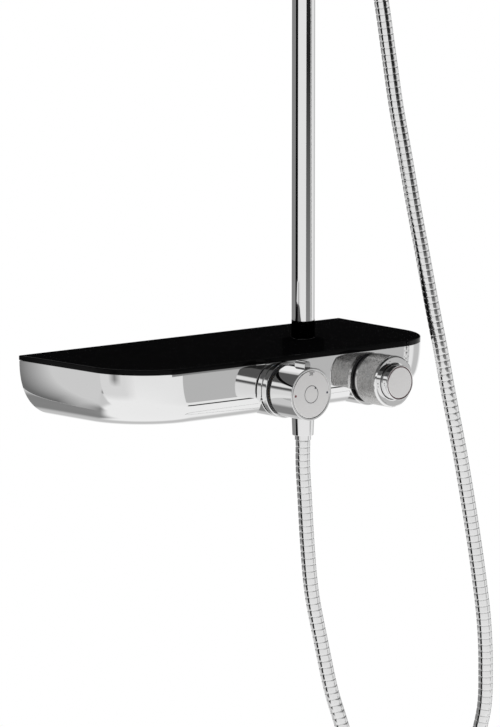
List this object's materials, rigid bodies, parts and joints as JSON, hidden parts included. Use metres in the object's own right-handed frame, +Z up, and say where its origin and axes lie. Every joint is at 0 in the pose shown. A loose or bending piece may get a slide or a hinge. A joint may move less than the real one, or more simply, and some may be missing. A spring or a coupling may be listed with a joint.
{
  "type": "rainfall shower column",
  "caption": "Wall-mounted shower column: thermostatic mixer with a black glass shelf, riser pipe, overhead rain head, sliding hand shower and metal hose.",
  "frame": {"origin": "on the wall plane, midway between the hot and the cold water inlet", "axes": "+X along the wall to the right as seen from the room, +Y into the wall, +Z up"},
  "size_m": [0.4103, 0.6442, 1.5967],
  "materials": {
    "black_glass": "opaque black toughened glass, satin sheen",
    "chrome": "bright polished plating",
    "satin_metal": "satin",
    "brass": "machined",
    "steel": "plain stainless",
    "hose_metal": "interlocked metal strip",
    "black_plastic": "matt",
    "grey_plastic": "matt",
    "white_plastic": "moulded",
    "rubber": "matt",
    "silicone": "matt silicone"
  },
  "bodies": {
    "root": {"glass_shelf": "black_glass", "shelf_support": "black_plastic", "body_casing": "chrome", "valve_body": "brass", "hot_escutcheon": "chrome", "cold_escutcheon": "chrome", "hot_inlet_union": "brass", "cold_inlet_union": "brass", "hot_filter_washer": "rubber", "cold_filter_washer": "rubber", "hot_union_nut": "brass", "cold_union_nut": "brass", "hot_check_valve": "grey_plastic", "cold_check_valve": "grey_plastic", "temperature_collar": "chrome", "temperature_stop_ring": "black_plastic", "thermostatic_cartridge": "brass", "thermostat_nut": "brass", "flow_stop_ring": "black_plastic", "flow_cartridge": "brass", "push_button_spring": "steel", "riser_pipe": "chrome", "riser_seal": "rubber", "bracket_wall_plate": "steel", "bracket_screw_upper": "steel", "bracket_screw_lower": "steel", "bracket_rosette": "chrome", "bracket_post": "chrome", "bracket_set_screw": "steel", "swivel_collar": "chrome", "swivel_washer": "rubber", "hose_outlet_nipple": "brass", "hose_nut": "chrome", "hose_washer": "rubber", "hose_ferrule": "chrome", "shower_hose": "hose_metal"},
    "temperature_knob": {"temperature_knob": "chrome", "knob_screw": "steel", "temperature_knob_face": "satin_metal", "safety_button_spring": "steel"},
    "safety_button": {"safety_button": "chrome"},
    "flow_knob": {"flow_knob": "satin_metal", "flow_knob_bezel": "chrome"},
    "push_button": {"push_button": "chrome", "push_button_face": "satin_metal"},
    "slider": {"slider_body": "chrome", "slider_bush": "grey_plastic", "slider_button_spring": "steel", "hose_cone": "chrome", "hose_cone_washer": "rubber", "handset_body": "chrome", "handset_face_ring": "chrome", "handset_nozzle_mat": "silicone"},
    "slider_button": {"slider_button": "chrome"},
    "arm": {"overhead_arm": "chrome", "ball_nut": "chrome"},
    "ball": {"overhead_ball": "brass"},
    "rain_head": {"overhead_shell": "chrome", "overhead_nozzle_mat": "silicone", "overhead_spray_plate": "white_plastic"}
  },
  "joints": [
    {"name": "temperature_turn", "type": "hinge", "parent": "root", "child": "temperature_knob", "pos_m": [-0.0158, -0.2, 0], "axis": [0, -1, 0], "range_deg": [-180, 60]},
    {"name": "safety_press", "type": "slide", "parent": "temperature_knob", "child": "safety_button", "axis": [0, 0, -1], "range_m": [0, 0.0024], "stiffness_N_per_m": 600, "springref_m": -0.001, "deforming": ["safety_button_spring"]},
    {"name": "flow_turn", "type": "hinge", "parent": "root", "child": "flow_knob", "pos_m": [0.0941, -0.19, 0], "axis": [0, -1, 0], "range_deg": [0, 120]},
    {"name": "push_press", "type": "slide", "parent": "root", "child": "push_button", "axis": [0, 1, 0], "range_m": [0, 0.004], "stiffness_N_per_m": 500, "springref_m": -0.001, "deforming": ["push_button_spring"]},
    {"name": "slider_height", "type": "slide", "parent": "root", "child": "slider", "axis": [0, 0, 1], "range_m": [-0.22, 0.2], "deforming": ["shower_hose"]},
    {"name": "slider_release", "type": "slide", "parent": "slider", "child": "slider_button", "axis": [-1, 0, 0], "range_m": [0, 0.003], "stiffness_N_per_m": 500, "springref_m": -0.001, "deforming": ["slider_button_spring"]},
    {"name": "arm_swivel", "type": "hinge", "parent": "root", "child": "arm", "pos_m": [0.0736, -0.0992, 1.09], "axis": [0, 0, 1], "range_deg": [-60, 60]},
    {"name": "head_pitch", "type": "hinge", "parent": "arm", "child": "ball", "pos_m": [0.0736, -0.5192, 1.101], "axis": [1, 0, 0], "range_deg": [-12, 12]},
    {"name": "head_roll", "type": "hinge", "parent": "ball", "child": "rain_head", "pos_m": [0.0736, -0.5192, 1.101], "axis": [0, 1, 0], "range_deg": [-12, 12]}
  ]
}
